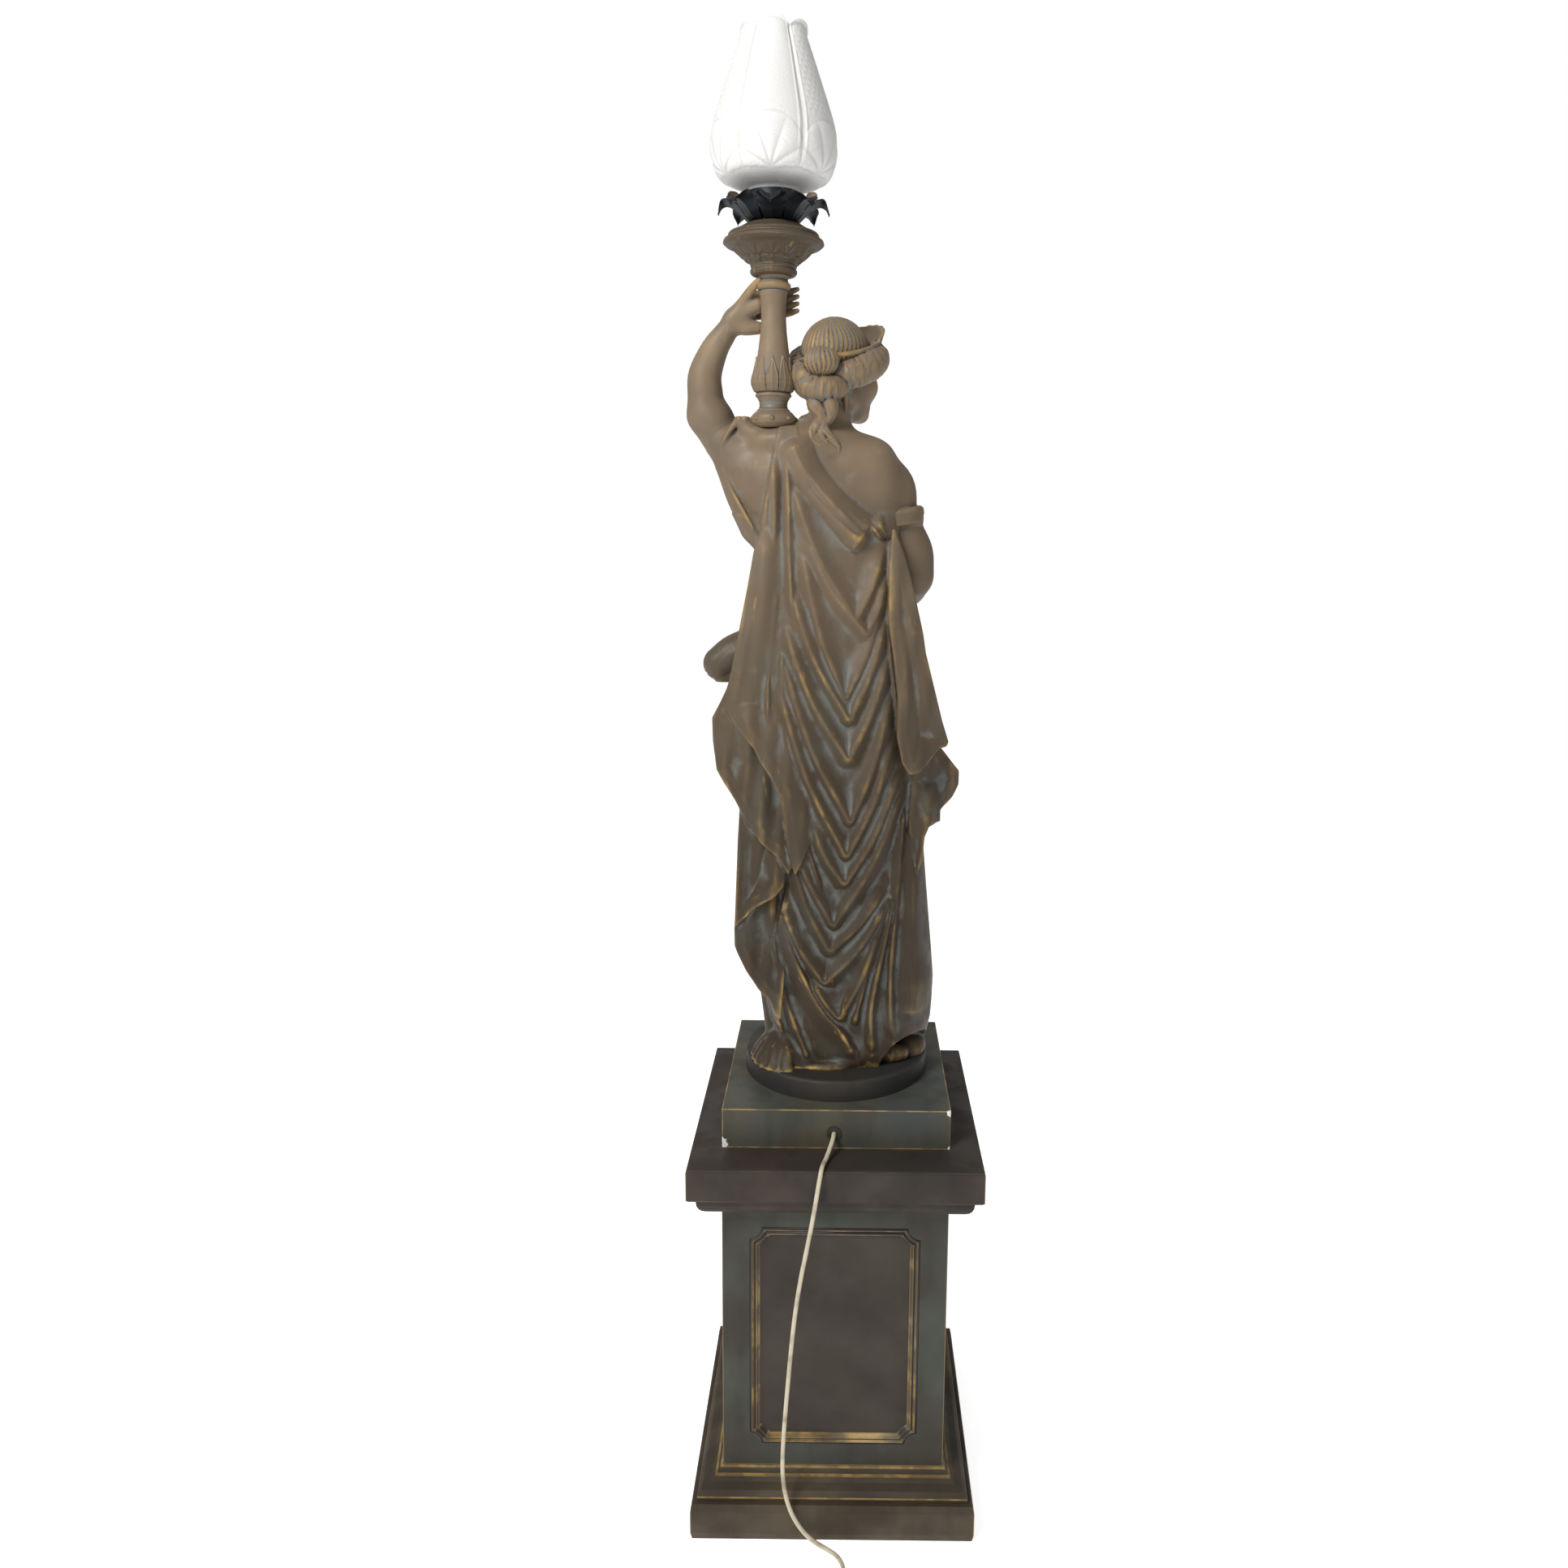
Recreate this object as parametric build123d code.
"""Torchiere floor lamp: a draped figure on a panelled pedestal holds up a torch with a glass tulip shade.

All sizes are millimetres. X is to the right as seen from behind the figure, the figure faces +Y, Z is up.
The origin is the centre of the pedestal's foot, on the floor.
"""
import math
import os

from build123d import *

os.makedirs("parts", exist_ok=True)

# ---------------------------------------------------------------- driving dimensions
# Pedestal
plinth_side = 397.0
plinth_block_height = 54.0
plinth_moulding_height = 30.0
plinth_edge_round = 2.5
plinth_moulding_profile = [  # height above the block, distance in from the plinth's face
    (0, 9), (5, 9), (8, 10), (12, 15), (16, 26), (20, 32), (21, 35), (26, 36),
]
shaft_side = 312.0
shaft_height = 413.0
shaft_wall = 20.0
cap_side = 400.0
cap_fascia_height = 47.0
cap_step_height = 6.0
cap_ovolo_height = 23.0
cap_ovolo_reach = 24.0
cap_seat_depth = 17.0  # how far the shaft goes up into the cap
cap_top_thickness = 20.0
cap_face_margin = 12.0  # from the cap's face in to the head of its ovolo
cap_lower_round = 3.0
cap_upper_round = 4.0
board_thickness = 12.0
board_ledge = 10.0
plinth_wall = 28.0
block_side = 28.0
block_height = 80.0
panel_margin = 38.0  # from the shaft's arris to the outside of the panel moulding
panel_foot_margin = 34.0
panel_head_margin = 31.0
panel_corner_radius = 17.0
moulding_width = 14.0
moulding_thickness = 7.0
panel_recess = 5.0
wood_screw_radius = 2.0
wood_screw_head_radius = 4.0
board_screw_bite = 16.0
block_screw_bite = 12.0

# Statue base
plate_side = 315.0
plate_height = 56.0
plate_wall = 10.0
plate_offset_y = 21.0
boss_radius = 12.0
boss_spacing = 180.0
bolt_radius = 4.0
bolt_head_radius = 7.0
bolt_head_height = 5.0
ground_radius = 134.0
ground_height = 30.0
ground_edge_radius = 5.0
ground_centre = (-2.0, 22.0)

# Figure, as a hollow casting with its head and arms cast apart
robe_wall = 9.0
robe_sections = [  # height above the ground, centre x, centre y, half width, half depth
    (0, 8, 20, 116, 88),
    (95, 6, 20, 122, 88),
    (240, -12, 18, 136, 90),
    (400, -4, 16, 158, 92),
    (540, -24, 16, 148, 94),
    (660, -18, 15, 118, 86),
    (760, -14, 14, 112, 78),
    (840, -38, 14, 112, 66),
    (884, -38, 16, 84, 52),
    (904, -22, 20, 42, 36),
]
robe_hollow_sections = 8  # the hollow stops below the shoulders
neck_radius = 27.0
neck_height = 34.0
head_centre = (-13.0, 30.0, 976.0)  # above the ground
head_half_sizes = (50.0, 62.0, 66.0)
bun_centre = (-28.0, -38.0, 974.0)
bun_radius = 26.0
raised_arm_stations = [  # x, y, height above the ground, radius
    (-92, 12, 838, 40),
    (-148, 13, 876, 37),
    (-189, 11, 920, 29),
    (-187, 8, 968, 23),
    (-171, 3, 1014, 19),
    (-142, -5, 1048, 18),
    (-112, -14, 1068, 16),
]
lowered_arm_stations = [
    (48, 12, 842, 42),
    (84, 12, 780, 40),
    (94, 20, 706, 35),
    (76, 74, 672, 32),
    (16, 104, 658, 29),
    (-58, 104, 628, 27),
    (-112, 84, 600, 30),
]

# Torch
torch_centre = (-95.0, -20.0)
torch_foot = 892.0  # height of the knob's underside above the ground
torch_stem_profile = [  # height above the knob's underside, radius
    (0, 20), (11, 30.5), (22, 22), (24, 18.5), (32, 18.5), (41, 22), (56, 29), (70, 26), (86, 22.5),
    (124, 17.4), (156, 16.5), (177, 18.3), (181, 23), (187, 23), (191, 19), (195, 21),
]
bobeche_profile = [  # height above the stem, radius
    (0, 24), (4, 31.2), (9, 31.2), (13, 30), (21, 38), (31, 52), (41, 67), (49, 60), (54, 56), (59, 48),
    (66, 31),
]
rod_radius = 5.0
rod_bore_radius = 3.5
rod_socket_depth = 12.0
rod_above_gallery = 15.0
leaf_count = 8
leaf_thickness = 1.5
leaf_reach = 39.5  # beyond the shade's neck
leaf_ring_inset = 3.5  # inside the shade's neck
leaf_gap_share = 0.62
leaf_rise = 16.0
leaf_tip_rise = 8.0
gallery_wall = 1.3
gallery_floor = 2.0
gallery_foot_radius = 26.0
gallery_ledge_height = 15.5
gallery_cup_depth = 21.0
thumbscrew_count = 3
thumbscrew_height = 10.0  # above the ledge
thumbscrew_radius = 2.0
thumbscrew_clearance = 0.08
thumbscrew_boss_radius = 4.0
thumbscrew_boss_length = 4.0
spade_reach = 66.0
spade_length = 15.0
spade_height = 12.0
spade_thickness = 3.0
shade_neck_radius = 34.5
shade_wall = 3.0
shade_neck_height = 22.0
shade_profile = [  # height above the neck, radius added to or taken from the neck's
    (5, 4.5), (14, 31.5), (30, 44.5), (58, 49.5), (86, 45.5), (147, 25.5), (191, 10.5), (202, 12.5),
]
shade_clearance = 0.4
rest_gap = 0.3

# Lampholder and bulb
nut_radius = 9.0
nut_height = 5.0
holder_radius = 19.0
holder_cap_height = 15.0
holder_shell_height = 30.0
holder_wall = 1.0
holder_neck_radius = 11.0
liner_thickness = 1.2
screw_shell_wall = 0.8
bulb_cap_radius = 13.0
bulb_cap_height = 25.0
bulb_radius = 30.0
bulb_length = 94.0  # of the glass, above the cap
bulb_wall = 1.0
bulb_contact_radius = 4.5
bulb_contact_height = 2.5
thread_clearance = 0.3

# Cord
cord_radius = 3.0
cord_exit = (-3.0, 23.0)  # x, and height above the cap
grommet_radius = 6.5
grommet_flange_radius = 9.5
grommet_flange = 2.5
grommet_clearance = 0.2
lead_radius = 2.6
lead_bore_clearance = 1.6
lead_bend_limit = 40.0
lead_through_figure = [  # x, y, height above the ground, from the torch down to the plate
    (-117, -13, 1050), (-146, -4, 1037), (-171, 4, 1006), (-184, 9, 962), (-180, 12, 912), (-146, 13, 872),
    (-96, 14, 834), (-44, 15, 780), (-18, 16, 690), (-14, 16, 520), (0, 18, 300), (6, 18, 60), (2, 16, -15),
]
lead_leaves_torch = 1061.0  # above the ground
lead_in_plate = [(-1, 2, 8), (-3, -26, 0)]  # x, y, height above the cord's exit
cord_over_cap = [  # x, distance out from the plate's face, height above the cap
    (-3, -5.5, 23), (-3.3, 11.5, 22.7), (-9, 25.5, 13), (-14, 42.5, 7),
]
cord_drop = [  # x, distance out from the cap's face, share of the cap's height
    (-18, -2, 1.018), (-21, 14, 0.991), (-25, 16, 0.942), (-30, 12, 0.881), (-37, 8.5, 0.809),
    (-46, 7, 0.723), (-53, 6.5, 0.633), (-58, 6, 0.54), (-62, 6.5, 0.448), (-66, 6, 0.354),
    (-69, 7, 0.264), (-69, 7, 0.182), (-61, 8, 0.112), (-47, 9, 0.059),
]
cord_on_floor = [  # x, distance out from the cap's face, height
    (-29, 11, 13), (-8, 15, 3.2), (8, 27, 3.2), (16, 44, 3.2), (17, 63, 3.2), (14, 81, 3.2),
]
coil_place = (45.0, 100.0)  # x, and distance out from the cap's face
coil_mean_radius = 32.0
coil_band_width = 18.0
coil_band_height = 12.4
coil_corner_radius = 4.0
plug_length = 34.0
plug_width = 24.0
plug_height = 18.0
plug_corner_radius = 5.0
plug_relief_length = 26.0
plug_relief_radius = 5.0
plug_start_x = 68.0
pin_length = 17.0
pin_width = 6.4
pin_thickness = 1.5
pin_spacing = 12.7

# ---------------------------------------------------------------- levels and places that follow
plinth_top = plinth_block_height + plinth_moulding_height
shaft_top = plinth_top + shaft_height
cap_top = shaft_top - cap_seat_depth + cap_ovolo_height + cap_step_height + cap_fascia_height
cap_underside = shaft_top - cap_seat_depth
plate_top = cap_top + plate_height
ground_top = plate_top + ground_height
plate_front = plate_offset_y - plate_side / 2
shaft_inside = shaft_side / 2 - shaft_wall
stem_foot = ground_top + torch_foot
stem_top = stem_foot + torch_stem_profile[-1][0]
bobeche_top = stem_top + bobeche_profile[-1][0]
crown_top = bobeche_top + leaf_thickness
gallery_ledge = crown_top + gallery_ledge_height
gallery_rim = gallery_ledge + gallery_cup_depth
gallery_radius = shade_neck_radius + shade_clearance + gallery_wall
neck_foot = gallery_ledge + rest_gap
holder_foot = crown_top + gallery_floor + nut_height
holder_shell_foot = holder_foot + holder_cap_height
holder_top = holder_shell_foot + holder_shell_height
bulb_cap_top = holder_top + 1.0
bulb_cap_foot = bulb_cap_top - bulb_cap_height
rod_top = crown_top + gallery_floor + rod_above_gallery
leaf_tip_radius = shade_neck_radius + leaf_reach
leaf_ring_radius = shade_neck_radius - leaf_ring_inset
exit_z = cap_top + cord_exit[1]
cap_face = -cap_side / 2
coil_centre = (coil_place[0], cap_face - coil_place[1])
cord_route = [
    *((x, plate_front - out, cap_top + up) for x, out, up in cord_over_cap),
    *((x, cap_face - out, cap_top * share) for x, out, share in cord_drop),
    *((x, cap_face - out, height) for x, out, height in cord_on_floor),
]
lead_route = [
    (*torch_centre, holder_foot + 1),
    (*torch_centre, ground_top + lead_leaves_torch),
    *((x, y, ground_top + height) for x, y, height in lead_through_figure),
    *((x, y, exit_z + up) for x, y, up in lead_in_plate),
    cord_route[0],
]


# ---------------------------------------------------------------- helpers
def block(x_size, y_size, z_low, z_high, centre=(0, 0)):
    """A box between two heights."""
    height = z_high - z_low
    return Pos(centre[0], centre[1], z_low + height / 2) * Box(x_size, y_size, height)


def rod(radius, z_low, z_high, centre=(0, 0)):
    """An upright cylinder between two heights."""
    height = z_high - z_low
    return Pos(centre[0], centre[1], z_low + height / 2) * Cylinder(radius, height)


def square_moulding(outline):
    """A square block whose four sides all have the same moulded outline of (height, half width) points."""
    right = [(half, z) for z, half in outline]
    left = [(-half, z) for z, half in reversed(outline)]
    reach = 2 * max(half for _, half in outline) + 10
    along_y = extrude(Plane.XZ * make_face(Polyline(*right, *left, close=True)), reach / 2, both=True)
    along_x = Rot(0, 0, 90) * along_y
    return along_y & along_x


def turned(outline, centre, base=0.0):
    """A solid of revolution about an upright axis, from closed (height, radius) points."""
    points = [(radius, 0, base + z) for z, radius in outline]
    return Pos(centre[0], centre[1], 0) * revolve(make_face(Polyline(*points, close=True)), Axis.Z)


def turned_solid(profile, centre, base):
    """A turned solid with no bore, from its outer profile alone."""
    return turned([(profile[0][0], 0), *profile, (profile[-1][0], 0)], centre, base)


def sections_loft(sections, base, inset=0.0):
    """A body through level ellipses."""
    rings = [
        Pos(x, y, base + z) * Ellipse(half_x - inset, half_y - inset)
        for z, x, y, half_x, half_y in sections
    ]
    return loft(rings, ruled=True)


def limb(stations, base):
    """A smooth limb through circles square to its own line."""
    centres = [Vector(x, y, base + z) for x, y, z, _ in stations]
    rings = []
    for index, station in enumerate(stations):
        before = centres[max(index - 1, 0)]
        after = centres[min(index + 1, len(centres) - 1)]
        plane = Plane(origin=centres[index], x_dir=Vector(0, 1, 0), z_dir=after - before)
        rings.append(plane * Circle(station[3]))
    return loft(rings, ruled=True)


def bend_radii(points, limit=None):
    """The largest arc that each corner of a route has room for."""
    vectors = [Vector(*point) for point in points]
    radii = []
    for before, corner, after in zip(vectors, vectors[1:], vectors[2:]):
        run_in, run_out = corner - before, after - corner
        half_turn = math.radians(run_in.get_angle(run_out)) / 2
        radius = 0.45 * min(run_in.length, run_out.length) / math.tan(half_turn)
        radii.append(min(radius, limit) if limit else radius)
    return radii


def tube(points, radius, limit=None):
    """A round tube along straight runs joined by arcs, with its line's length."""
    path = FilletPolyline(*points, radius=bend_radii(points, limit))
    start = Plane(origin=path @ 0, z_dir=path % 0)
    return sweep(start * Circle(radius), path=path), path.length


def wood_screw(length):
    """A countersunk screw that points up, with its head's face at height 0."""
    sink = wood_screw_head_radius - wood_screw_radius
    return turned(
        [
            (0, 0),
            (0, wood_screw_head_radius),
            (sink, wood_screw_radius),
            (length, wood_screw_radius),
            (length, 0),
        ],
        (0, 0),
    )


def corners(spacing, centre=(0, 0)):
    """The four corners of a square."""
    half = spacing / 2
    return [(centre[0] + sx * half, centre[1] + sy * half) for sx in (-1, 1) for sy in (-1, 1)]


def save(name, *solids):
    """Write one node."""
    shape = solids[0] if len(solids) == 1 else Compound(children=list(solids))
    shape.label = name
    export_step(shape, f"parts/{name}.step")


# ---------------------------------------------------------------- pedestal
plinth_half = plinth_side / 2
shaft_half = shaft_side / 2
plinth_outline = [
    (0, plinth_half - plinth_edge_round),
    (plinth_block_height * 0.2, plinth_half),
    (plinth_block_height * 0.8, plinth_half),
    (plinth_block_height, plinth_half - plinth_edge_round),
    *((plinth_block_height + up, plinth_half - inward) for up, inward in plinth_moulding_profile),
    (plinth_top, shaft_half + 1),
]
board_half = plinth_half - plinth_wall + board_ledge
base_board = block(2 * board_half, 2 * board_half, 0, board_thickness)
plinth = square_moulding(plinth_outline)
plinth -= block(2 * board_half, 2 * board_half, 0, board_thickness)
plinth_pocket = 2 * (plinth_half - plinth_wall)
plinth -= block(plinth_pocket, plinth_pocket, board_thickness, plinth_block_height)
plinth -= block(2 * shaft_inside, 2 * shaft_inside, plinth_block_height, plinth_top)

screw_line = 2 * (board_half - board_ledge / 2)
half_line = screw_line / 2
board_screw_places = [*corners(screw_line), (0, half_line), (0, -half_line), (half_line, 0), (-half_line, 0)]
base_screws = [Pos(x, y, 0) * wood_screw(board_thickness + board_screw_bite) for x, y in board_screw_places]
for screw in base_screws:
    base_board -= screw
    plinth -= screw

shaft = block(shaft_side, shaft_side, plinth_top, shaft_top)
shaft -= block(2 * shaft_inside, 2 * shaft_inside, plinth_top, shaft_top)

panel_low = plinth_top + panel_foot_margin
panel_high = cap_underside - panel_head_margin
panel_middle = (panel_low + panel_high) / 2


def notched_panel(inset):
    """A rectangle with its corners scooped out."""
    width = shaft_side - 2 * panel_margin - 2 * inset
    height = panel_high - panel_low - 2 * inset
    face = Rectangle(width, height)
    for x in (-1, 1):
        for z in (-1, 1):
            face -= Pos(x * width / 2, z * height / 2) * Circle(panel_corner_radius)
    return face


front = Plane(origin=(0, -shaft_half, panel_middle), x_dir=(1, 0, 0), z_dir=(0, -1, 0))
recess = extrude(front * notched_panel(0), -panel_recess)
moulding_frame = extrude(front * (notched_panel(0) - notched_panel(moulding_width)), moulding_thickness)
moulding_frame = Pos(0, panel_recess, 0) * moulding_frame
panel_mouldings = []
for turn in range(4):
    shaft -= Rot(0, 0, 90 * turn) * recess
    panel_mouldings.append(Rot(0, 0, 90 * turn) * moulding_frame)

cap_half = cap_side / 2
ovolo_head_half = cap_half - cap_face_margin
ovolo_foot_half = ovolo_head_half - cap_ovolo_reach
ovolo = []
for step in range(7):
    angle = math.radians(90 * step / 6)
    ovolo_z = cap_underside + cap_ovolo_height * (1 - math.cos(angle))
    ovolo.append((ovolo_z, ovolo_foot_half + cap_ovolo_reach * math.sin(angle)))
step_z = cap_underside + cap_ovolo_height
fascia_z = step_z + cap_step_height
cap_outline = [
    *ovolo[:-1],
    (step_z, ovolo_head_half),
    (fascia_z, ovolo_head_half + 2),
    (fascia_z, cap_half - cap_lower_round),
    (fascia_z + cap_lower_round, cap_half),
    (cap_top - cap_upper_round, cap_half),
    (cap_top - cap_upper_round * 0.3, cap_half - cap_upper_round * 0.3),
    (cap_top, cap_half - cap_upper_round),
]
cap = square_moulding(cap_outline)
cap -= block(shaft_side, shaft_side, cap_underside, shaft_top)
cap -= block(2 * shaft_inside, 2 * shaft_inside, shaft_top, cap_top - cap_top_thickness)

block_line = 2 * shaft_inside - block_side
lower_blocks = []
upper_blocks = []
block_screws = []
lower_low = plinth_block_height + 2
upper_low = cap_top - cap_top_thickness - block_height
screw_heights = [
    (plinth_top - plinth_moulding_height / 2, 0),
    (plinth_top + 36, 0),
    (shaft_top - 22, 1),
    (cap_top - cap_top_thickness - 14, 1),
]
for x, y in corners(block_line):
    side = 1 if x > 0 else -1
    lower = block(block_side, block_side, lower_low, lower_low + block_height, (x, y))
    upper = block(block_side, block_side, upper_low, upper_low + block_height, (x, y))
    for height, is_upper in screw_heights:
        inner_face = x - side * block_side / 2
        screw = Pos(inner_face, y, height) * Rot(0, side * 90, 0) * wood_screw(block_side + block_screw_bite)
        block_screws.append(screw)
        lower -= screw
        upper -= screw
        shaft -= screw
        plinth -= screw
        cap -= screw
    lower_blocks.append(lower)
    upper_blocks.append(upper)

# ---------------------------------------------------------------- statue base
plate_centre = (0, plate_offset_y)
plate = block(plate_side, plate_side, cap_top, plate_top, plate_centre)
plate = fillet(plate.edges().filter_by(Axis.Z), 2.5)
plate_inside = plate_side - 2 * plate_wall
plate -= block(plate_inside, plate_inside, cap_top, plate_top - plate_wall, plate_centre)
plate_bolts = []
for x, y in corners(boss_spacing, plate_centre):
    plate += rod(boss_radius, cap_top, plate_top - plate_wall, (x, y))
    head_foot = cap_top - cap_top_thickness - bolt_head_height
    bolt = rod(bolt_head_radius, head_foot, head_foot + bolt_head_height, (x, y))
    bolt += rod(bolt_radius, head_foot, cap_top + plate_height / 2, (x, y))
    plate_bolts.append(bolt)
for bolt in plate_bolts:
    plate -= bolt
    cap -= bolt

ground = rod(ground_radius, plate_top, ground_top, ground_centre)
ground = fillet(ground.edges().group_by(Axis.Z)[-1], ground_edge_radius)
ground_bolts = []
for side in (-1, 1):
    place = (ground_centre[0] + side * ground_radius / 2, ground_centre[1])
    head_foot = plate_top - plate_wall - bolt_head_height
    bolt = rod(bolt_head_radius, head_foot, head_foot + bolt_head_height, place)
    bolt += rod(bolt_radius, head_foot, plate_top + ground_height * 0.7, place)
    ground_bolts.append(bolt)
    plate -= bolt
    ground -= bolt

grommet_place = Pos(cord_exit[0], plate_front, exit_z) * Rot(90, 0, 0)
grommet = grommet_place * Pos(0, 0, grommet_flange / 2) * Cylinder(grommet_flange_radius, grommet_flange)
grommet += grommet_place * Pos(0, 0, -plate_wall / 2) * Cylinder(grommet_radius, plate_wall)
grommet_bore = cord_radius + grommet_clearance
grommet -= grommet_place * Cylinder(grommet_bore, 4 * plate_wall)
plate -= grommet_place * Pos(0, 0, -plate_wall / 2) * Cylinder(grommet_radius, plate_wall)

# ---------------------------------------------------------------- figure
robe_outside = sections_loft(robe_sections, ground_top)
robe = robe_outside - sections_loft(robe_sections[:robe_hollow_sections], ground_top, robe_wall)

torch_stem_outside = turned_solid(torch_stem_profile, torch_centre, stem_foot)
robe -= torch_stem_outside
raised_arm = limb(raised_arm_stations, ground_top) - robe_outside - torch_stem_outside
lowered_arm = limb(lowered_arm_stations, ground_top) - robe_outside

neck_top = ground_top + robe_sections[-1][0] + neck_height
neck_place = (robe_sections[-1][1], robe_sections[-1][2])
head = scale(Sphere(1), by=head_half_sizes)
head = Pos(head_centre[0], head_centre[1], ground_top + head_centre[2]) * head
head += rod(neck_radius, ground_top + robe_sections[-1][0], neck_top, neck_place)
head += Pos(bun_centre[0], bun_centre[1], ground_top + bun_centre[2]) * Sphere(bun_radius)

# ---------------------------------------------------------------- torch
rod_foot = stem_top - rod_socket_depth
torch_stem = torch_stem_outside - rod(rod_radius, rod_foot, stem_top, torch_centre)
bobeche = turned_solid(bobeche_profile, torch_centre, stem_top)
bobeche -= rod(rod_radius, stem_top, bobeche_top, torch_centre)

leaf_outline = [
    (0, rod_radius),
    (0, leaf_ring_radius),
    (leaf_rise * 0.7, leaf_ring_radius + 10),
    (leaf_rise - leaf_thickness, leaf_ring_radius + 24),
    (leaf_tip_rise, leaf_tip_radius - 2),
    (leaf_tip_rise + leaf_thickness, leaf_tip_radius),
    (leaf_rise, leaf_ring_radius + 24.5),
    (leaf_rise * 0.7 + leaf_thickness, leaf_ring_radius + 9),
    (leaf_thickness, leaf_ring_radius - 1),
    (leaf_thickness, rod_radius),
]
leaf_crown = turned(leaf_outline, torch_centre, bobeche_top)
gap_root = leaf_ring_radius + 12
gap_half = leaf_tip_radius * math.tan(math.pi / leaf_count) * leaf_gap_share
gap = make_face(
    Polyline((gap_root, 0), (leaf_tip_radius + 10, gap_half), (leaf_tip_radius + 10, -gap_half), close=True)
)
gap_prism = extrude(gap, leaf_rise + 4)
for number in range(leaf_count):
    half_way = 360 * (number + 0.5) / leaf_count
    leaf_crown -= Pos(*torch_centre, bobeche_top - 1) * Rot(0, 0, half_way) * gap_prism

ledge_inside = shade_neck_radius - shade_wall - 1.5
gallery_outline = [
    (0, rod_radius),
    (0, gallery_foot_radius),
    (gallery_ledge_height * 0.55, gallery_radius - 2),
    (gallery_ledge_height * 0.85, gallery_radius),
    (gallery_ledge_height + gallery_cup_depth, gallery_radius),
    (gallery_ledge_height + gallery_cup_depth, gallery_radius - gallery_wall),
    (gallery_ledge_height, gallery_radius - gallery_wall),
    (gallery_ledge_height, ledge_inside),
    (gallery_ledge_height - gallery_wall, ledge_inside),
    (gallery_ledge_height * 0.55, ledge_inside),
    (gallery_floor, gallery_foot_radius - gallery_wall),
    (gallery_floor, rod_radius),
]
gallery = turned(gallery_outline, torch_centre, crown_top)

screw_z = gallery_ledge + thumbscrew_height
screw_tip = shade_neck_radius + rest_gap
thumbscrews = []
for number in range(thumbscrew_count):
    angle = 90 + 360 * number / thumbscrew_count
    outward = Pos(*torch_centre, screw_z) * Rot(0, 0, angle) * Rot(0, 90, 0)
    boss_middle = gallery_radius + thumbscrew_boss_length / 2 - gallery_wall / 2
    gallery += outward * Pos(0, 0, boss_middle) * Cylinder(
        thumbscrew_boss_radius, thumbscrew_boss_length + gallery_wall
    )
    hole_length = 6 * thumbscrew_boss_length
    hole_radius = thumbscrew_radius + thumbscrew_clearance
    gallery -= outward * Pos(0, 0, gallery_radius) * Cylinder(hole_radius, hole_length)
    spade_root = spade_reach - spade_length
    shank_length = spade_root + 2 - screw_tip
    screw = Pos(0, 0, screw_tip + shank_length / 2) * Cylinder(thumbscrew_radius, shank_length)
    spade = Box(spade_height, spade_thickness, spade_length)
    spade = fillet(spade.edges().filter_by(Axis.Y), spade_height * 0.4)
    screw += Pos(0, 0, spade_root + spade_length / 2) * spade
    thumbscrews.append(outward * screw)
gallery -= rod(gallery_radius - gallery_wall, gallery_ledge, gallery_rim, torch_centre)

shade_outer = [(0, shade_neck_radius), (shade_neck_height, shade_neck_radius)]
shade_outer += [(shade_neck_height + z, shade_neck_radius + extra) for z, extra in shade_profile]
inner_neck = shade_neck_radius - shade_wall
shade_inner = [(0, inner_neck), (shade_neck_height + 2, inner_neck)]
shade_inner += [(shade_neck_height + z + 2, inner_neck + extra) for z, extra in shade_profile[1:-2]]
shade_inner += [(shade_neck_height + z, inner_neck + extra) for z, extra in shade_profile[-2:]]
glass_shade = turned([*shade_outer, *reversed(shade_inner)], torch_centre, neck_foot)

stem_rod = rod(rod_radius, rod_foot, rod_top, torch_centre)
stem_rod -= rod(rod_bore_radius, rod_foot, rod_top, torch_centre)
nut_foot = crown_top + gallery_floor
nut = Pos(*torch_centre, nut_foot) * extrude(RegularPolygon(nut_radius, 6), nut_height)
nut -= rod(rod_radius, nut_foot, nut_foot + nut_height, torch_centre)

# ---------------------------------------------------------------- lampholder and bulb
holder_cap = turned(
    [
        (0, rod_radius),
        (0, holder_neck_radius),
        (6, holder_radius - 2),
        (holder_cap_height, holder_radius),
        (holder_cap_height, holder_radius - holder_wall),
        (7, holder_radius - 3),
        (2, holder_neck_radius),
        (2, rod_radius),
    ],
    torch_centre,
    holder_foot,
)
holder_shell = rod(holder_radius, holder_shell_foot, holder_top, torch_centre)
holder_shell -= rod(holder_radius - holder_wall, holder_shell_foot, holder_top, torch_centre)
screw_shell_radius = bulb_cap_radius + thread_clearance + screw_shell_wall
insulator_top = holder_shell_foot
liner_outside = holder_radius - holder_wall
holder_liner = rod(liner_outside, holder_shell_foot, holder_top, torch_centre)
holder_liner -= rod(liner_outside - liner_thickness, holder_shell_foot, holder_top, torch_centre)
insulator = rod(holder_radius - 3, rod_top, insulator_top, torch_centre)
screw_shell = rod(screw_shell_radius, insulator_top, holder_top - 2, torch_centre)
screw_shell -= rod(screw_shell_radius - screw_shell_wall, insulator_top, holder_top - 2, torch_centre)
contact_height = bulb_cap_foot - bulb_contact_height - rest_gap - insulator_top
centre_contact = rod(4, insulator_top, insulator_top + contact_height, torch_centre)

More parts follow.
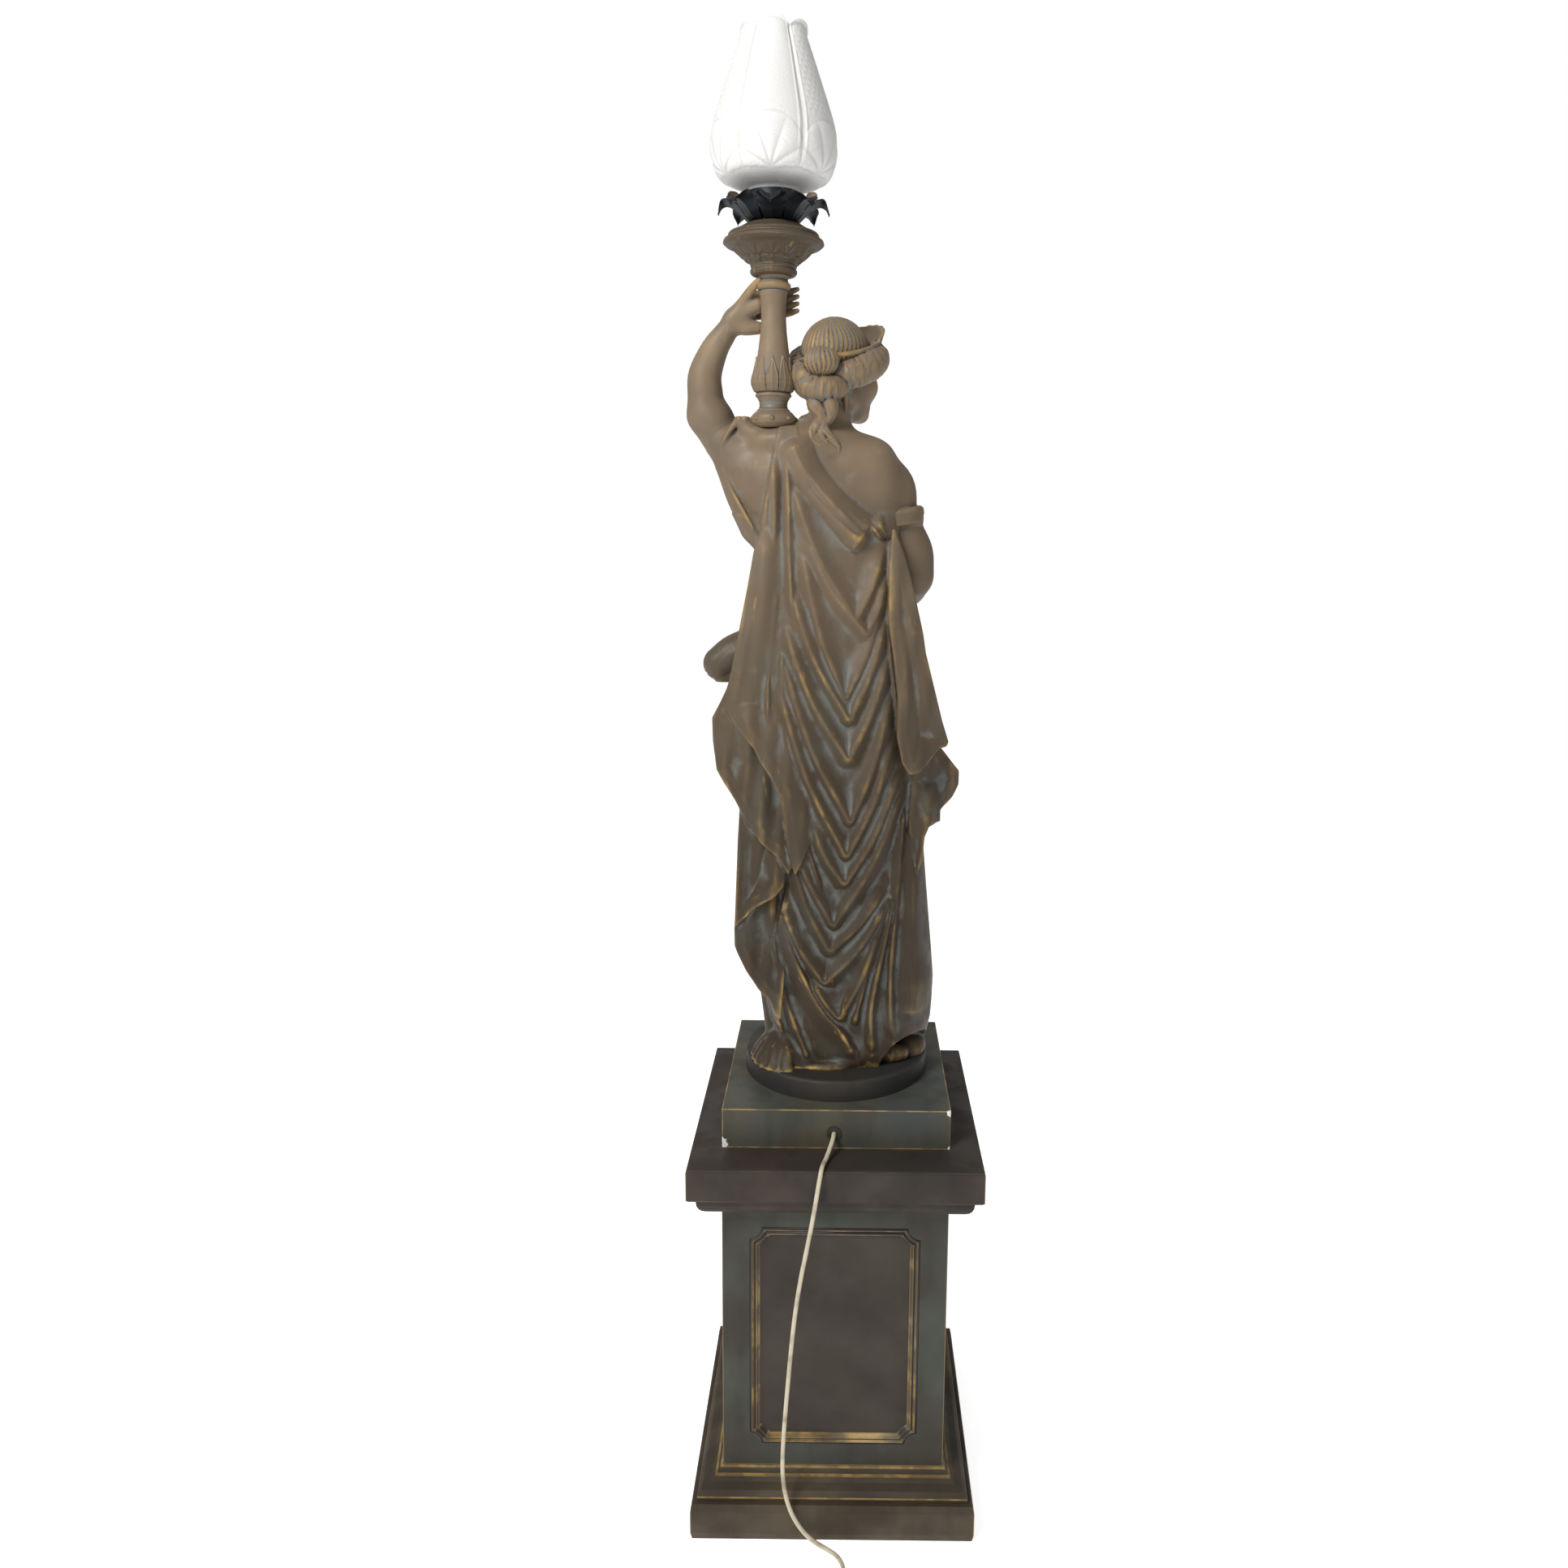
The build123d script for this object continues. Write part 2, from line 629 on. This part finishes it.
bulb_cap = rod(bulb_cap_radius, bulb_cap_foot, bulb_cap_top, torch_centre)
bulb_cap -= rod(bulb_cap_radius - 0.6, bulb_cap_foot + 1, bulb_cap_top, torch_centre)
bulb_contact = rod(bulb_contact_radius, bulb_cap_foot - bulb_contact_height, bulb_cap_foot, torch_centre)
bulb_shape = [
    (0, 0.42), (0.1, 0.45), (0.28, 0.67), (0.42, 0.9), (0.55, 0.985), (0.63, 1.0), (0.72, 0.98),
    (0.84, 0.84), (0.93, 0.6), (0.985, 0.3), (1.0, 0),
]
bulb_outer = [(share * bulb_length, ratio * bulb_radius) for share, ratio in bulb_shape]
bulb_inner = [(max(z - bulb_wall, 0), radius - bulb_wall) for z, radius in bulb_outer[:-1]]
bulb_inner += [(bulb_length - bulb_wall, 0)]
bulb_envelope = turned([*bulb_outer, *reversed(bulb_inner)], torch_centre, bulb_cap_top)

# ---------------------------------------------------------------- lead inside the lamp
inner_lead, lead_length = tube(lead_route, lead_radius, lead_bend_limit)
lead_bore, _ = tube(lead_route, lead_radius + lead_bore_clearance, lead_bend_limit)
torch_stem -= lead_bore
raised_arm -= lead_bore
robe -= lead_bore
ground -= lead_bore
plate -= lead_bore
holder_cap -= rod(rod_bore_radius, holder_foot, holder_foot + 3, torch_centre)

# ---------------------------------------------------------------- supply cord, its coil and its plug
supply_cord, cord_length = tube(cord_route, cord_radius)
band = Pos(coil_mean_radius, 0, coil_band_height / 2) * Rot(90, 0, 0) * RectangleRounded(
    coil_band_width, coil_band_height, coil_corner_radius
)
cord_coil = Pos(*coil_centre, 0) * revolve(band, Axis.Z)

plug_y = coil_centre[1] - coil_mean_radius
relief = Pos(plug_start_x + plug_relief_length / 2, plug_y, plug_height / 2) * Rot(0, 90, 0)
plug_body = relief * Cylinder(plug_relief_radius, plug_relief_length)
plug_foot_x = plug_start_x + plug_relief_length
casing = Box(plug_length, plug_width, plug_height)
casing = fillet(casing.edges().filter_by(Axis.X), plug_corner_radius)
plug_body += Pos(plug_foot_x + plug_length / 2, plug_y, plug_height / 2) * casing
plug_pins = []
for side in (-1, 1):
    pin = Box(pin_length, pin_thickness, pin_width)
    pin_x = plug_foot_x + plug_length + pin_length / 2
    plug_pins.append(Pos(pin_x, plug_y + side * pin_spacing / 2, plug_height / 2) * pin)

# ---------------------------------------------------------------- write the nodes
save("base_board", base_board)
save("base_screws", *base_screws)
save("pedestal_plinth", plinth)
save("pedestal_shaft", shaft)
save("panel_mouldings", *panel_mouldings)
save("pedestal_cap", cap)
save("lower_corner_blocks", *lower_blocks)
save("upper_corner_blocks", *upper_blocks)
save("block_screws", *block_screws)
save("plate_bolts", *plate_bolts)
save("statue_plate", plate)
save("ground_bolts", *ground_bolts)
save("cord_grommet", grommet)
save("figure_ground", ground)
save("figure_robe", robe)
save("figure_head", head)
save("raised_arm", raised_arm)
save("lowered_arm", lowered_arm)
save("torch_stem", torch_stem)
save("torch_bobeche", bobeche)
save("leaf_crown", leaf_crown)
save("shade_gallery", gallery)
for number, screw in enumerate(thumbscrews, 1):
    save(f"thumbscrew_{number}", screw)
save("glass_shade", glass_shade)
save("stem_rod", stem_rod)
save("gallery_nut", nut)
save("lampholder_cap", holder_cap)
save("lampholder_shell", holder_shell)
save("lampholder_liner", holder_liner)
save("lampholder_insulator", insulator)
save("screw_shell", screw_shell)
save("centre_contact", centre_contact)
save("bulb_envelope", bulb_envelope)
save("bulb_cap", bulb_cap)
save("bulb_contact", bulb_contact)
save("inner_lead", inner_lead)
save("supply_cord", supply_cord)
save("cord_coil", cord_coil)
save("plug_body", plug_body)
save("plug_pins", *plug_pins)

print("cord bends (mm):", [round(radius, 1) for radius in bend_radii(cord_route)])
cord_section = math.pi * cord_radius**2
print("cord tube volume / (section x length):", round(supply_cord.volume / (cord_section * cord_length), 4))
coil_turns = 6
coiled = coil_turns * 2 * math.pi * coil_mean_radius
print("cord length with its coil (mm):", round(cord_length + coiled + plug_relief_length))
lead_section = math.pi * lead_radius**2
print("lead volume / (section x length):", round(inner_lead.volume / (lead_section * lead_length), 4))
